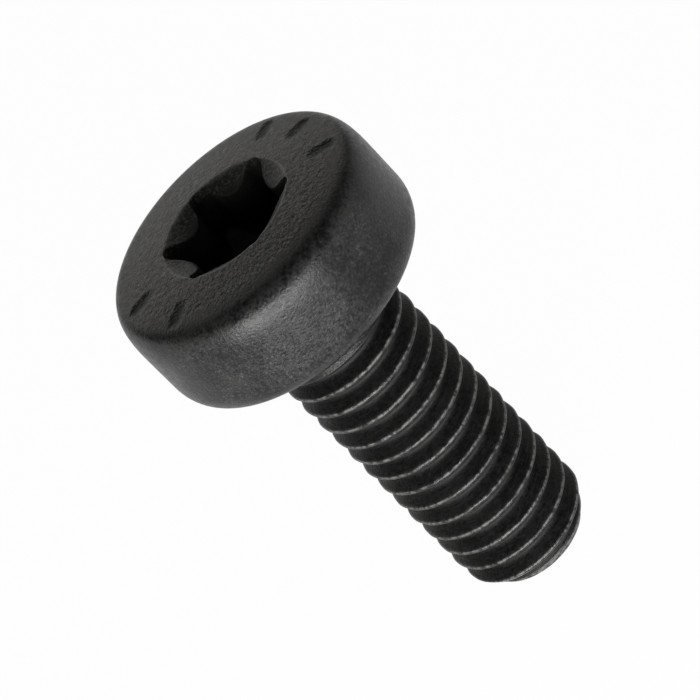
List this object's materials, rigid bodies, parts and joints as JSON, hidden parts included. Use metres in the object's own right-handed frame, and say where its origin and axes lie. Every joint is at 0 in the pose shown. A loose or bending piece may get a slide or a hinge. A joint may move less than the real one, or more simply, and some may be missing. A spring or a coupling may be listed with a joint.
{
  "type": "pan head screw with six-lobe socket",
  "caption": "Black pan head machine screw with a six-lobe socket and a full-length coarse right-hand thread.",
  "frame": {"origin": "centre of the flat tip end of the shank", "axes": "+Z along the screw's axis from the tip to the head; +X through one lobe of the socket"},
  "size_m": [0.0116, 0.0116, 0.0204],
  "materials": {
    "black_steel": "black oxide, matte, fine grained"
  },
  "bodies": {
    "root": {"screw": "black_steel"}
  },
  "joints": []
}
